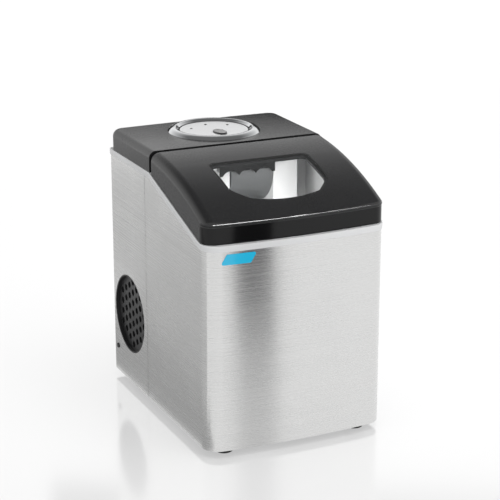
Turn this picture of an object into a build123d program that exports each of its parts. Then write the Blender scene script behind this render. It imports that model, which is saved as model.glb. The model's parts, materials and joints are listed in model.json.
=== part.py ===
from build123d import *
from math import cos, hypot, radians, sin, sqrt
import os

# Compact countertop ice maker that freezes bullet-shaped ice on dipped fingers.
# Frame: X to the right, Y from the front to the back, Z up. The origin lies on the floor,
# under the middle of the whole machine. All sizes are in millimetres.

# Cabinet
WIDTH = 242.0
FRONT_Y = -168.0  # foremost line of the bowed front
BACK_Y = 162.0
BOW = 7.0  # how far the middle of the front stands in front of its sides
FRONT_RADIUS = 22.0
REAR_RADIUS = 6.0
SHEET = 1.0
FOOT_HEIGHT = 9.0
SEAM_Y = 36.0  # where the front wrap meets the rear wrap
SEAM_GAP = 0.7
TALL = 400.0  # taller than the machine, for blocks that are cut to shape

# Rim, the upper edge of the trim: level at the back, sloping down to the front
RIM_REAR_Z = 320.0
RIM_FRONT_Z = 272.0
RIM_BREAK_Y = 18.0
RIM_FRONT_Y = -141.0
RIM_BENDS = [8.0, 45.0]
TRIM_HEIGHT = 8.0
TRIM_PROUD = 1.2
TRIM_WALL = 6.0
LEDGE_WALL = 13.0
LEDGE_HEIGHT = 3.0

# Top covers and lid
TOP_Z = 347.0
HINGE_Y = 18.0  # line where the lid meets the rear cover
HINGE_GAP = 0.6
SKIN = 3.0
TOP_FILLET = 9.0
LID_FRONT_Y = -163.5
LID_CREASE_Z = 299.0
LID_ARC_RADIUS = 445.0
LID_LIFT = 0.4  # gap between the closed lid and the trim
PIVOT_DEPTH = 7.0
PIVOT_Y = HINGE_Y - HINGE_GAP - PIVOT_DEPTH
PIVOT_Z = TOP_Z - PIVOT_DEPTH

# Window in the lid
WINDOW_HALF = 67.0
WINDOW_BACK_Y = -43.0
WINDOW_SIDE_Y = -106.0
WINDOW_FRONT_Y = -133.0

# Control panel on the rear cover
DIAL_Y = 92.0
DIAL_RADIUS = 61.0
FASCIA_RADIUS = 45.0

# Round grilles on both sides
GRILLE_Y = 99.0
GRILLE_Z = 105.5
GRILLE_RADIUS = 53.0
GRILLE_PITCH = 14.6
GRILLE_HOLE = 4.9

# Tub and ice mechanism
TUB_INSET = 12.0
TUB_WALL = 2.5
TUB_FLOOR_Z = 62.0
TUB_BACK_Y = 34.0
POCKET_HALF = 66.0
POCKET_BACK_Y = 88.0
POCKET_FLOOR_Z = 262.0
TRAY_Y = 24.0  # axis that the water tray turns about
TRAY_Z = 322.0
TRAY_INNER = 52.0
TRAY_WALL = 2.0
TRAY_HALF = 27.0
FINGER_PITCH = 16.0
FINGER_RADIUS = 5.5
FINGER_TOP_Z = 322.5
FINGER_TIP_Z = 297.0
FINGER_MID_Y = 2.0
BRIDGE_Z = 329.5
BRIDGE_THICK = 2.5
BRIDGE_HALF = 64.0
CHEEK_HALF = 30.5
FLAP_Y = -29.0
FLAP_Z = 334.3
FLAP_LEFT = -48.0
FLAP_RIGHT = 30.0

RUNNING_CLEARANCE = 0.05


def cabinet_plan(z, inset=0.0):
    """Outline of the cabinet seen from above at height z, moved inwards by inset."""
    half = WIDTH / 2 - inset
    front = FRONT_Y + inset
    back = BACK_Y - inset
    with BuildSketch(Plane.XY.offset(z), mode=Mode.PRIVATE) as plan:
        with BuildLine():
            ThreePointArc((-half, front + BOW), (0, front), (half, front + BOW))
            Polyline((half, front + BOW), (half, back), (-half, back), (-half, front + BOW))
        make_face()
        fillet(plan.vertices().group_by(Axis.Y)[-1], max(REAR_RADIUS - inset, 1.0))
        fillet(plan.vertices().group_by(Axis.Y)[0], max(FRONT_RADIUS - inset, 1.0))
    return plan.sketch


def below_rim(drop):
    """Side view of all that lies lower than the rim line moved down by drop."""
    back = BACK_Y + 20
    front = FRONT_Y - 20
    rear_z = RIM_REAR_Z - drop
    front_z = RIM_FRONT_Z - drop
    with BuildSketch(Plane.YZ, mode=Mode.PRIVATE) as region:
        with BuildLine():
            FilletPolyline(
                (back, rear_z), (RIM_BREAK_Y, rear_z), (RIM_FRONT_Y, front_z), (front, front_z), radius=RIM_BENDS
            )
            Polyline((front, front_z), (front, -20), (back, -20), (back, rear_z))
        make_face()
    return region.sketch


def hollow_wall(z, outer_inset, inner_inset):
    """Upright wall that follows the cabinet's outline between two insets."""
    with BuildPart(mode=Mode.PRIVATE) as wall:
        extrude(cabinet_plan(z, outer_inset), amount=TALL)
        extrude(cabinet_plan(z, inner_inset), amount=TALL, mode=Mode.SUBTRACT)
    return wall.part


def slab_in_front_of(y, z_low=0.0, z_high=TALL):
    """Wide block that holds everything in front of y, between two heights."""
    deep = 400.0
    with BuildPart(mode=Mode.PRIVATE) as block:
        with Locations((0, y - deep / 2, (z_low + z_high) / 2)):
            Box(2 * WIDTH, deep, z_high - z_low)
    return block.part


def round_bar(radius, start, direction, length, inner=0.0):
    """Straight round bar, or a tube where inner is given."""
    with BuildPart(mode=Mode.PRIVATE) as bar:
        with BuildSketch(Plane(origin=start, z_dir=direction)):
            Circle(radius)
            if inner:
                Circle(inner, mode=Mode.SUBTRACT)
        extrude(amount=length)
    return bar.part


def bent_tube(points, bend, radius):
    """Pipe made of straight runs joined by tangent bends."""
    with BuildPart(mode=Mode.PRIVATE) as tube:
        with BuildLine() as path:
            FilletPolyline(*points, radius=bend)
        with BuildSketch(Plane(origin=path.line @ 0, z_dir=path.line % 0)):
            Circle(radius)
        sweep(path=path.line)
    return tube.part


def save(part, name):
    """Labels a finished piece and writes its STEP file."""
    part.label = name
    export_step(part, f"parts/{name}.step")


os.makedirs("parts", exist_ok=True)

# ---------------------------------------------------------------- base and feet

PAN_TOP_Z = FOOT_HEIGHT + 2.5
DRAIN_Y = -112.0
DRAIN_Z = 80.0
PAN_INSET = SHEET + 0.2

with BuildPart() as base_pan:
    extrude(cabinet_plan(FOOT_HEIGHT, PAN_INSET), amount=16)
    extrude(cabinet_plan(PAN_TOP_Z, PAN_INSET + 2.5), amount=20, mode=Mode.SUBTRACT)
    with Locations((0, 98, FOOT_HEIGHT)):
        with GridLocations(12, 0, 7, 1):
            Box(5, 60, 20, mode=Mode.SUBTRACT)
save(base_pan.part, "base_pan")

FOOT_RADIUS = 11.0

with BuildPart() as rubber_feet:
    with BuildSketch():
        with Locations((-91, -141), (91, -141), (-91, 138), (91, 138)):
            Circle(FOOT_RADIUS)
    extrude(amount=FOOT_HEIGHT, taper=-4)
    fillet(rubber_feet.edges().group_by(Axis.Z)[0], 1.6)
save(rubber_feet.part, "rubber_feet")

# ---------------------------------------------------------------- steel wraps

with BuildPart() as front_wrap:
    add(hollow_wall(FOOT_HEIGHT, 0.0, SHEET))
    extrude(below_rim(TRIM_HEIGHT), amount=WIDTH, both=True, mode=Mode.INTERSECT)
    add(slab_in_front_of(SEAM_Y - SEAM_GAP / 2), mode=Mode.INTERSECT)
    with BuildSketch(Plane.YZ.offset(WIDTH / 2 - 5)):
        with Locations((DRAIN_Y, DRAIN_Z)):
            Circle(15.2)
    extrude(amount=10, mode=Mode.SUBTRACT)
save(front_wrap.part, "front_wrap")

GLAND_X = -82.0
GLAND_Z = 46.0

with BuildPart() as rear_wrap:
    add(hollow_wall(FOOT_HEIGHT, 0.0, SHEET))
    extrude(below_rim(TRIM_HEIGHT), amount=WIDTH, both=True, mode=Mode.INTERSECT)
    add(slab_in_front_of(SEAM_Y + SEAM_GAP / 2), mode=Mode.SUBTRACT)
    # joggled flange that runs behind the front wrap and closes the seam
    for side in (-1, 1):
        with Locations((side * (WIDTH / 2 - 1.5 * SHEET - 0.05), SEAM_Y - 2.5, 164)):
            Box(SHEET - 0.1, 15, 272)
        with Locations((side * (WIDTH / 2 - 1.25 * SHEET), SEAM_Y + 3, 164)):
            Box(1.5 * SHEET, 4, 272)
    with BuildSketch(Plane.YZ):
        with Locations((GRILLE_Y, GRILLE_Z)):
            Circle(GRILLE_RADIUS)
    extrude(amount=WIDTH, both=True, mode=Mode.SUBTRACT)
    with BuildSketch(Plane.XZ.offset(-BACK_Y - 5)):
        with Locations((0, 205)):
            with GridLocations(15, 26, 9, 4):
                SlotCenterToCenter(16, 4, rotation=90)
        with Locations((GLAND_X, GLAND_Z)):
            Circle(8.9)
        with Locations(*[(x, z) for x in (-104, 104) for z in (32, 160, 300)]):
            Circle(1.8)
    extrude(amount=10, mode=Mode.SUBTRACT)
    with BuildSketch(Plane.YZ):
        with Locations((146, 45)):
            Circle(1.8)
    extrude(amount=WIDTH, both=True, mode=Mode.SUBTRACT)
save(rear_wrap.part, "rear_wrap")

# ---------------------------------------------------------------- round side grilles


def lattice(pitch, reach):
    """Points of a hexagonal lattice inside a circle, with upright columns."""
    step = pitch * sqrt(3) / 2
    columns = int(reach // step)
    points = []
    for column in range(-columns, columns + 1):
        shift = pitch / 2 if column % 2 else 0.0
        rows = int(reach // pitch) + 1
        for row in range(-rows, rows + 1):
            point = (column * step, row * pitch + shift)
            if hypot(*point) <= reach:
                points.append(point)
    return points


GRILLE_RECESS = 5.0
GRILLE_PLATE = 2.5
GRILLE_REACH = 50.0

with BuildPart() as grille_left:
    with BuildSketch(Plane.YZ.offset(-WIDTH / 2 + 0.2)):
        with Locations((GRILLE_Y, GRILLE_Z)):
            Circle(GRILLE_RADIUS - 0.3)
            Circle(GRILLE_RADIUS - 1.8, mode=Mode.SUBTRACT)
    extrude(amount=GRILLE_RECESS - 0.2)
    with BuildSketch(Plane.YZ.offset(-WIDTH / 2 + GRILLE_RECESS)):
        with Locations((GRILLE_Y, GRILLE_Z)):
            Circle(GRILLE_RADIUS + 4)
        with Locations(*[(GRILLE_Y + u, GRILLE_Z + v) for u, v in lattice(GRILLE_PITCH, GRILLE_REACH)]):
            RegularPolygon(GRILLE_HOLE, 6, mode=Mode.SUBTRACT)
    extrude(amount=GRILLE_PLATE)
    with BuildSketch(Plane.YZ.offset(-WIDTH / 2 + SHEET)):
        with Locations((GRILLE_Y, GRILLE_Z)):
            Circle(GRILLE_RADIUS + 4)
            Circle(GRILLE_RADIUS + 1.5, mode=Mode.SUBTRACT)
    extrude(amount=GRILLE_RECESS - SHEET)
save(grille_left.part, "side_grille_left")

with BuildPart() as grille_right:
    add(mirror(grille_left.part, about=Plane.YZ, mode=Mode.PRIVATE))
save(grille_right.part, "side_grille_right")

# ---------------------------------------------------------------- silver trim around the top



def rim_band(outer_inset, inner_inset, height):
    """Closed band round the cabinet, from the given depth below the rim upwards."""
    with BuildPart(mode=Mode.PRIVATE) as band:
        add(hollow_wall(0, outer_inset, inner_inset))
        extrude(below_rim(height), amount=WIDTH, both=True, mode=Mode.SUBTRACT)
    return band.part


with BuildPart() as top_trim:
    add(rim_band(-TRIM_PROUD, TRIM_WALL, TRIM_HEIGHT))
    add(rim_band(TRIM_WALL - 0.5, LEDGE_WALL, LEDGE_HEIGHT))
    extrude(below_rim(0), amount=WIDTH, both=True, mode=Mode.INTERSECT)
save(top_trim.part, "top_trim")

# ---------------------------------------------------------------- rear cover


def rear_cover_block(inset):
    """Rear cover's outer or inner shape, with its upper edges rounded except at the hinge line."""
    front = HINGE_Y + HINGE_GAP + inset
    top = TOP_Z - inset
    bottom = RIM_REAR_Z - (20 if inset else 0)
    half = WIDTH / 2 - inset
    back = BACK_Y - inset
    with BuildPart(mode=Mode.PRIVATE) as block:
        with BuildSketch(Plane.XY.offset(bottom)) as plan:
            with BuildLine():
                ThreePointArc((-half, back - 2), (0, back + 0.8), (half, back - 2))
                Polyline((half, back - 2), (half, front), (-half, front), (-half, back - 2))
            make_face()
            fillet(plan.vertices().group_by(Axis.Y)[-1], 16 - inset)
        extrude(amount=top - bottom)
        rim = block.edges().group_by(Axis.Z)[-1].sort_by(Axis.Y)
        fillet(rim[1:], TOP_FILLET - inset)
    return block.part


NOTCH_HALF = POCKET_HALF + 2

with BuildPart() as rear_cover:
    add(rear_cover_block(0.0))
    add(rear_cover_block(SKIN), mode=Mode.SUBTRACT)
    with Locations((0, DIAL_Y, TOP_Z)):
        Cylinder(DIAL_RADIUS - 5, 4 * SKIN, mode=Mode.SUBTRACT)
    # opening in the front wall that the ice mechanism reaches through
    with Locations((0, HINGE_Y, RIM_REAR_Z)):
        Box(2 * NOTCH_HALF, 20, 30, mode=Mode.SUBTRACT)
save(rear_cover.part, "rear_cover")

# ---------------------------------------------------------------- lid hinge

HINGE_X = 109.5
POST_HALF = 2.5
PIN_RADIUS = 1.5
KNUCKLE_RADIUS = 3.0
KNUCKLE_GAP = 0.5

with BuildPart() as hinge_posts:
    for side in (-1, 1):
        with BuildSketch(Plane.YZ.offset(side * HINGE_X)):
            with BuildLine():
                Polyline(
                    (PIVOT_Y - 5, RIM_REAR_Z - 8),
                    (PIVOT_Y + 5, RIM_REAR_Z - 8),
                    (PIVOT_Y + KNUCKLE_RADIUS, PIVOT_Z),
                    (PIVOT_Y - KNUCKLE_RADIUS, PIVOT_Z),
                    close=True,
                )
            make_face()
            with Locations((PIVOT_Y, PIVOT_Z)):
                Circle(KNUCKLE_RADIUS)
                Circle(PIN_RADIUS + RUNNING_CLEARANCE, mode=Mode.SUBTRACT)
        extrude(amount=POST_HALF, both=True)
    extrude(below_rim(0), amount=WIDTH, both=True, mode=Mode.SUBTRACT)
save(hinge_posts.part, "hinge_posts")

PIN_INNER_X = HINGE_X - POST_HALF - KNUCKLE_GAP - 3.5
PIN_OUTER_X = WIDTH / 2 - SKIN

with BuildPart() as hinge_pins:
    for side in (-1, 1):
        add(round_bar(PIN_RADIUS, (side * PIN_INNER_X, PIVOT_Y, PIVOT_Z), (side, 0, 0), PIN_OUTER_X - PIN_INNER_X))
save(hinge_pins.part, "hinge_pins")

# ---------------------------------------------------------------- lid

LID_ARC_Y = 42.35
LID_ARC_Z = TOP_Z - sqrt(LID_ARC_RADIUS**2 - (LID_ARC_Y - HINGE_Y) ** 2)
LID_SIDE_FILLET = 12.0
LID_NOSE_FILLET = 4.5
LID_CORNER = 16.0


def lid_drum(inset):
    """Drum about the centre of the lid's arc, with rounded ends, that shapes the lid's top and side edges."""
    half = WIDTH / 2 - inset
    radius = LID_ARC_RADIUS - inset
    with BuildPart(mode=Mode.PRIVATE) as drum:
        with BuildSketch(Plane(origin=(0, LID_ARC_Y, LID_ARC_Z), x_dir=(1, 0, 0), z_dir=(0, -1, 0))) as section:
            with Locations((0, radius - 120)):
                Rectangle(2 * half, 240)
            fillet(section.vertices().group_by(Axis.Z)[-1], LID_SIDE_FILLET - inset)
        revolve(axis=Axis((0, LID_ARC_Y, LID_ARC_Z), (1, 0, 0)), revolution_arc=360)
    return drum.part


def lid_block(inset):
    """Lid's outer or inner shape down to a level below the rim."""
    half = WIDTH / 2 - inset
    front = LID_FRONT_Y + inset
    back = HINGE_Y - HINGE_GAP - inset
    with BuildPart(mode=Mode.PRIVATE) as block:
        with BuildSketch(Plane.XY.offset(RIM_FRONT_Z - 30)) as plan:
            with BuildLine():
                ThreePointArc((-half, front + BOW), (0, front), (half, front + BOW))
                Polyline((half, front + BOW), (half, back), (-half, back), (-half, front + BOW))
            make_face()
            fillet(plan.vertices().group_by(Axis.Y)[0], LID_CORNER - inset)
        extrude(amount=TALL)
        add(lid_drum(inset), mode=Mode.INTERSECT)
        rear = block.edges().filter_by(Axis.X).group_by(Axis.Z)[-1].sort_by(Axis.Y)[-1]
        fillet(rear, PIVOT_DEPTH - inset)
    return block.part


def window_outline(grow=0.0):
    """Upright prism with the window's outline seen from above, enlarged by grow."""
    corner_x = 0.72 * WINDOW_HALF
    corner_y = WINDOW_FRONT_Y + 8
    with BuildPart(mode=Mode.PRIVATE) as prism:
        with BuildSketch(Plane.XY.offset(RIM_FRONT_Z)) as outline:
            with BuildLine():
                Polyline(
                    (-corner_x, corner_y),
                    (-WINDOW_HALF, WINDOW_SIDE_Y),
                    (-WINDOW_HALF, WINDOW_BACK_Y),
                    (WINDOW_HALF, WINDOW_BACK_Y),
                    (WINDOW_HALF, WINDOW_SIDE_Y),
                    (corner_x, corner_y),
                )
                ThreePointArc((corner_x, corner_y), (0, WINDOW_FRONT_Y), (-corner_x, corner_y))
            make_face()
            fillet(outline.vertices().group_by(Axis.Y)[-1], 8)
            fillet([spot for spot in outline.vertices() if abs(spot.Y - WINDOW_SIDE_Y) < 1], 24)
            fillet([spot for spot in outline.vertices() if abs(spot.Y - corner_y) < 1], 12)
            if grow:
                offset(amount=grow)
        extrude(amount=TALL)
    return prism.part


def arc_layer(outer_depth, inner_depth):
    """Layer between two depths under the lid's curved top."""
    with BuildPart(mode=Mode.PRIVATE) as layer:
        with BuildSketch(Plane.YZ):
            with Locations((LID_ARC_Y, LID_ARC_Z)):
                Circle(LID_ARC_RADIUS - outer_depth)
                Circle(LID_ARC_RADIUS - inner_depth, mode=Mode.SUBTRACT)
        extrude(amount=WIDTH, both=True)
    return layer.part


LUG_WALL = 3.5
BAND_DEPTH = 2 * (BOW + LID_CORNER)
BAND_TOP_Z = LID_CREASE_Z - 6
GASKET_WIDTH = 1.5

with BuildPart() as lid_shell:
    add(lid_block(0))
    add(lid_block(SKIN), mode=Mode.SUBTRACT)
    extrude(below_rim(-LID_LIFT), amount=WIDTH, both=True, mode=Mode.SUBTRACT)
    add(window_outline(GASKET_WIDTH), mode=Mode.SUBTRACT)
    # the rear wall is cut away over the ice mechanism and beside each hinge post
    with Locations((0, HINGE_Y, PIVOT_Z - 20)):
        Box(2 * NOTCH_HALF, 20, 40, mode=Mode.SUBTRACT)
    with Locations((-HINGE_X, HINGE_Y, PIVOT_Z - 17), (HINGE_X, HINGE_Y, PIVOT_Z - 17)):
        Box(2 * (POST_HALF + KNUCKLE_GAP), 12, 40, mode=Mode.SUBTRACT)
    # lugs that hold the hinge pins on both sides of each post
    for side in (-1, 1):
        for lug_x in (PIN_INNER_X + LUG_WALL / 2, HINGE_X + POST_HALF + KNUCKLE_GAP + LUG_WALL / 2):
            with BuildSketch(Plane.YZ.offset(side * lug_x)):
                with Locations((PIVOT_Y, PIVOT_Z)):
                    Circle(PIVOT_DEPTH - SKIN)
                with Locations((PIVOT_Y - 1, PIVOT_Z + 2.2)):
                    Rectangle(6, 4.4)
            extrude(amount=LUG_WALL / 2, both=True)
        bore_start = (side * (PIN_INNER_X - 1), PIVOT_Y, PIVOT_Z)
        add(round_bar(PIN_RADIUS, bore_start, (side, 0, 0), PIN_OUTER_X - PIN_INNER_X + 1), mode=Mode.SUBTRACT)
    with Locations((0, LID_FRONT_Y, RIM_FRONT_Z)):
        Box(2 * WIDTH, BAND_DEPTH, 2 * (BAND_TOP_Z - RIM_FRONT_Z), mode=Mode.SUBTRACT)
save(lid_shell.part, "lid_shell")

with BuildPart() as lid_front_band:
    add(lid_block(0))
    add(lid_block(SKIN), mode=Mode.SUBTRACT)
    with Locations((0, LID_FRONT_Y, RIM_FRONT_Z)):
        Box(2 * WIDTH, BAND_DEPTH, 2 * (BAND_TOP_Z - RIM_FRONT_Z), mode=Mode.INTERSECT)
    extrude(below_rim(-LID_LIFT), amount=WIDTH, both=True, mode=Mode.SUBTRACT)
save(lid_front_band.part, "lid_front_band")

with BuildPart() as lid_window:
    add(window_outline())
    add(arc_layer(0.3, SKIN), mode=Mode.INTERSECT)
save(lid_window.part, "lid_window")

with BuildPart() as window_gasket:
    add(window_outline(GASKET_WIDTH))
    add(window_outline(), mode=Mode.SUBTRACT)
    add(arc_layer(0.1, SKIN), mode=Mode.INTERSECT)
save(window_gasket.part, "window_gasket")

with BuildPart() as window_frame:
    add(window_outline(8))
    add(window_outline(-3), mode=Mode.SUBTRACT)
    add(arc_layer(SKIN, SKIN + 2.5), mode=Mode.INTERSECT)
save(window_frame.part, "window_frame")

# ---------------------------------------------------------------- control panel

BUTTON_Y = DIAL_Y - 20
BUTTON_LONG = 27.0
BUTTON_WIDE = 16.0
LENS_SPOTS = [(-26.0, DIAL_Y + 15), (0.0, DIAL_Y + 28), (26.0, DIAL_Y + 15)]
LENS_RADIUS = 1.8
FASCIA_BOTTOM_Z = TOP_Z - SKIN

with BuildPart() as control_bezel:
    with BuildSketch(Plane.XZ):
        with BuildLine():
            Polyline((DIAL_RADIUS, 0), (FASCIA_RADIUS + 2, 0), (FASCIA_RADIUS + 2, 1.0), (FASCIA_RADIUS + 5, 4.2))
            ThreePointArc((FASCIA_RADIUS + 5, 4.2), (FASCIA_RADIUS + 12, 3.1), (DIAL_RADIUS, 0))
        make_face()
    revolve(axis=Axis.Z)
    with BuildSketch():
        Circle(DIAL_RADIUS - 5.3)
        Circle(FASCIA_RADIUS + 2, mode=Mode.SUBTRACT)
    extrude(amount=-SKIN)
save(control_bezel.part.moved(Location((0, DIAL_Y, TOP_Z))), "control_bezel")

with BuildPart() as dial_gasket:
    with BuildSketch(Plane.XY.offset(FASCIA_BOTTOM_Z)):
        with Locations((0, DIAL_Y)):
            Circle(FASCIA_RADIUS + 2)
            Circle(FASCIA_RADIUS, mode=Mode.SUBTRACT)
    extrude(amount=SKIN + 0.4)
save(dial_gasket.part, "dial_gasket")

with BuildPart() as control_fascia:
    with BuildSketch(Plane.XY.offset(FASCIA_BOTTOM_Z)):
        with Locations((0, DIAL_Y)):
            Circle(FASCIA_RADIUS)
        with Locations((0, BUTTON_Y)):
            Ellipse(BUTTON_WIDE / 2 + 0.4, BUTTON_LONG / 2 + 0.4, mode=Mode.SUBTRACT)
        with Locations(*LENS_SPOTS):
            Circle(LENS_RADIUS, mode=Mode.SUBTRACT)
    extrude(amount=SKIN + 0.8)
save(control_fascia.part, "control_fascia")

BOARD_TOP_Z = 336.0
SWITCH_HEIGHT = 3.4
FLANGE_TOP_Z = FASCIA_BOTTOM_Z - 0.3

with BuildPart() as power_button:
    with BuildSketch(Plane.XY.offset(FLANGE_TOP_Z - 1.3)):
        with Locations((0, BUTTON_Y)):
            Ellipse(BUTTON_WIDE / 2 + 1.6, BUTTON_LONG / 2 + 1.6)
    extrude(amount=1.3)
    with BuildSketch(Plane.XY.offset(FLANGE_TOP_Z)):
        with Locations((0, BUTTON_Y)):
            Ellipse(BUTTON_WIDE / 2, BUTTON_LONG / 2)
    extrude(amount=TOP_Z + 2.8 - FLANGE_TOP_Z)
    fillet(power_button.edges().group_by(Axis.Z)[-1], 1.4)
    with BuildSketch(Plane.XY.offset(FLANGE_TOP_Z - 1.3)):
        with Locations((0, BUTTON_Y)):
            Circle(2.5)
    extrude(amount=-0.8)
save(power_button.part, "power_button")

with BuildPart() as indicator_lenses:
    with BuildSketch(Plane.XY.offset(FASCIA_BOTTOM_Z)):
        with Locations(*LENS_SPOTS):
            Circle(LENS_RADIUS)
    extrude(amount=SKIN + 1.4)
    fillet(indicator_lenses.edges().group_by(Axis.Z)[-1], 0.5)
save(indicator_lenses.part, "indicator_lenses")

BOARD_Y = DIAL_Y + 14
BOARD_HOLES = (76.0, 68.0)

with BuildPart() as control_board:
    with BuildSketch(Plane.XY.offset(BOARD_TOP_Z - 1.6)):
        with Locations((0, BOARD_Y)):
            RectangleRounded(84, 76, 3)
    extrude(amount=1.6)
    with Locations((0, BUTTON_Y, BOARD_TOP_Z + SWITCH_HEIGHT / 2)):
        Box(7, 7, SWITCH_HEIGHT)
    with Locations((-22, DIAL_Y + 38, BOARD_TOP_Z + 2.5), (4, DIAL_Y + 40, BOARD_TOP_Z + 2.5)):
        Box(14, 12, 5)
    with Locations(*[(x, y, BOARD_TOP_Z + 1.5) for x, y in LENS_SPOTS]):
        Cylinder(1.5, 3)
    with Locations((24, DIAL_Y + 38, BOARD_TOP_Z + 2.7)):
        Cylinder(4.5, 5.4)
save(control_board.part, "control_board")

with BuildPart() as board_posts:
    with BuildSketch(Plane.XY.offset(BOARD_TOP_Z)):
        with Locations((0, BOARD_Y)):
            with GridLocations(*BOARD_HOLES, 2, 2):
                Circle(2.5)
    extrude(amount=FASCIA_BOTTOM_Z - BOARD_TOP_Z)
save(board_posts.part, "board_posts")

# ---------------------------------------------------------------- tub and basket


def tub_block(inset, floor_z, back_y):
    """Block with the tub's plan, from floor_z up, that ends at back_y."""
    with BuildPart(mode=Mode.PRIVATE) as block:
        extrude(cabinet_plan(floor_z, inset), amount=TALL)
        add(slab_in_front_of(back_y), mode=Mode.INTERSECT)
    return block.part


def pocket_block(shrink):
    """Block with the shape of the pocket behind the tub, made smaller by shrink."""
    front = TUB_BACK_Y - 10
    back = POCKET_BACK_Y - shrink
    low = POCKET_FLOOR_Z + shrink
    with BuildPart(mode=Mode.PRIVATE) as block:
        with Locations((0, (front + back) / 2, (low + TALL) / 2)):
            Box(2 * (POCKET_HALF - shrink), back - front, TALL - low)
    return block.part


DRAIN_INNER = 5.5
REST_Z = 150.0
REST_DEPTH = 8.0


def liner_flange():
    """Flat lip of the liner that lies under the ledge of the top trim, in front of the tub's back wall."""
    with BuildPart(mode=Mode.PRIVATE) as flange:
        add(rim_band(TRIM_WALL + 0.2, TUB_INSET + 1, LEDGE_HEIGHT + 2))
        add(slab_in_front_of(TUB_BACK_Y + TUB_WALL), mode=Mode.INTERSECT)
    return flange.part


with BuildPart() as inner_liner:
    add(tub_block(TUB_INSET, TUB_FLOOR_Z - TUB_WALL, TUB_BACK_Y + TUB_WALL))
    add(pocket_block(0))
    add(liner_flange())
    add(tub_block(TUB_INSET + TUB_WALL, TUB_FLOOR_Z, TUB_BACK_Y), mode=Mode.SUBTRACT)
    add(pocket_block(TUB_WALL), mode=Mode.SUBTRACT)
    # ribs that the ice basket stands on
    rest_x = WIDTH / 2 - TUB_INSET - TUB_WALL - REST_DEPTH / 2 + 0.2
    for x in (-rest_x, rest_x):
        for y in (-120, -60):
            with Locations((x, y, REST_Z - 6)):
                Box(REST_DEPTH, 10, 12)
    extrude(below_rim(LEDGE_HEIGHT), amount=WIDTH, both=True, mode=Mode.INTERSECT)
    with BuildSketch(Plane.YZ.offset(WIDTH / 2 - TUB_INSET - 6)):
        with Locations((DRAIN_Y, DRAIN_Z)):
            Circle(DRAIN_INNER)
    extrude(amount=10, mode=Mode.SUBTRACT)
save(inner_liner.part, "inner_liner")

FOAM_FLOOR_Z = 27.0

with BuildPart() as insulation_foam:
    add(tub_block(SHEET + 0.3, FOAM_FLOOR_Z, TUB_BACK_Y + 5))
    add(tub_block(TUB_INSET, TUB_FLOOR_Z - TUB_WALL, TUB_BACK_Y + TUB_WALL), mode=Mode.SUBTRACT)
    extrude(below_rim(TRIM_HEIGHT + 4), amount=WIDTH, both=True, mode=Mode.INTERSECT)
    with Locations((0, TUB_BACK_Y, 300)):
        Box(2 * POCKET_HALF + 4, 40, 2 * (300 - POCKET_FLOOR_Z), mode=Mode.SUBTRACT)
    for side in (-1, 1):
        with Locations((side * (WIDTH / 2), SEAM_Y, 160)):
            Box(8, 40, 320, mode=Mode.SUBTRACT)
    with BuildSketch(Plane.YZ.offset(WIDTH / 2 - TUB_INSET - 1)):
        with Locations((DRAIN_Y, DRAIN_Z)):
            Circle(15)
    extrude(amount=20, mode=Mode.SUBTRACT)
save(insulation_foam.part, "insulation_foam")

BASKET_HALF = 100.0
BASKET_FRONT_Y = -143.0
BASKET_BACK_Y = -38.0
BASKET_TOP_Z = 256.0
BASKET_WALL = 2.0
BASKET_DEPTH = BASKET_BACK_Y - BASKET_FRONT_Y
BASKET_MID_Y = (BASKET_BACK_Y + BASKET_FRONT_Y) / 2

with BuildPart() as ice_basket:
    with BuildSketch(Plane.XY.offset(REST_Z)):
        with Locations((0, BASKET_MID_Y)):
            RectangleRounded(2 * BASKET_HALF, BASKET_DEPTH, 12)
    extrude(amount=BASKET_TOP_Z - REST_Z)
    with BuildSketch(Plane.XY.offset(REST_Z + BASKET_WALL)):
        with Locations((0, BASKET_MID_Y)):
            RectangleRounded(2 * (BASKET_HALF - BASKET_WALL), BASKET_DEPTH - 2 * BASKET_WALL, 10)
    extrude(amount=BASKET_TOP_Z - REST_Z, mode=Mode.SUBTRACT)
    with BuildSketch(Plane.XY.offset(REST_Z - 1)):
        with Locations((0, BASKET_MID_Y)):
            with GridLocations(26, 12, 6, 6):
                SlotCenterToCenter(14, 4)
    extrude(amount=4, mode=Mode.SUBTRACT)
    with BuildSketch(Plane.XZ.offset(-BASKET_BACK_Y - 1)):
        with Locations((0, 196)):
            with GridLocations(20, 24, 8, 3):
                SlotCenterToCenter(12, 4, rotation=90)
    extrude(amount=BASKET_DEPTH + 2, mode=Mode.SUBTRACT)
save(ice_basket.part, "ice_basket")

# ---------------------------------------------------------------- drain

with BuildPart() as drain_elbow:
    outer_end = WIDTH / 2 - 0.4
    flange_start = WIDTH / 2 - TUB_INSET
    bar_at = (flange_start, DRAIN_Y, DRAIN_Z)
    add(round_bar(14.8, bar_at, (1, 0, 0), outer_end - flange_start))
    add(round_bar(DRAIN_INNER, (flange_start - 4.5, DRAIN_Y, DRAIN_Z), (1, 0, 0), 6))
    add(round_bar(4.0, (flange_start - 5, DRAIN_Y, DRAIN_Z), (1, 0, 0), 30), mode=Mode.SUBTRACT)
    add(round_bar(9.05, (flange_start + 3, DRAIN_Y, DRAIN_Z), (1, 0, 0), 30), mode=Mode.SUBTRACT)
save(drain_elbow.part, "drain_elbow")

with BuildPart() as drain_plug:
    plug_start = WIDTH / 2 - TUB_INSET + 3.4
    add(round_bar(9.0, (plug_start, DRAIN_Y, DRAIN_Z), (1, 0, 0), WIDTH / 2 - 2.5 - plug_start))
    with Locations((WIDTH / 2 - 1.8, DRAIN_Y, DRAIN_Z)):
        Box(3.6, 4, 15)
save(drain_plug.part, "drain_plug")

# ---------------------------------------------------------------- freezing fingers

FINGER_STEPS = (-FINGER_PITCH, 0, FINGER_PITCH)
FINGER_SPOTS = [(x, FINGER_MID_Y + y) for x in FINGER_STEPS for y in FINGER_STEPS]

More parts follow.
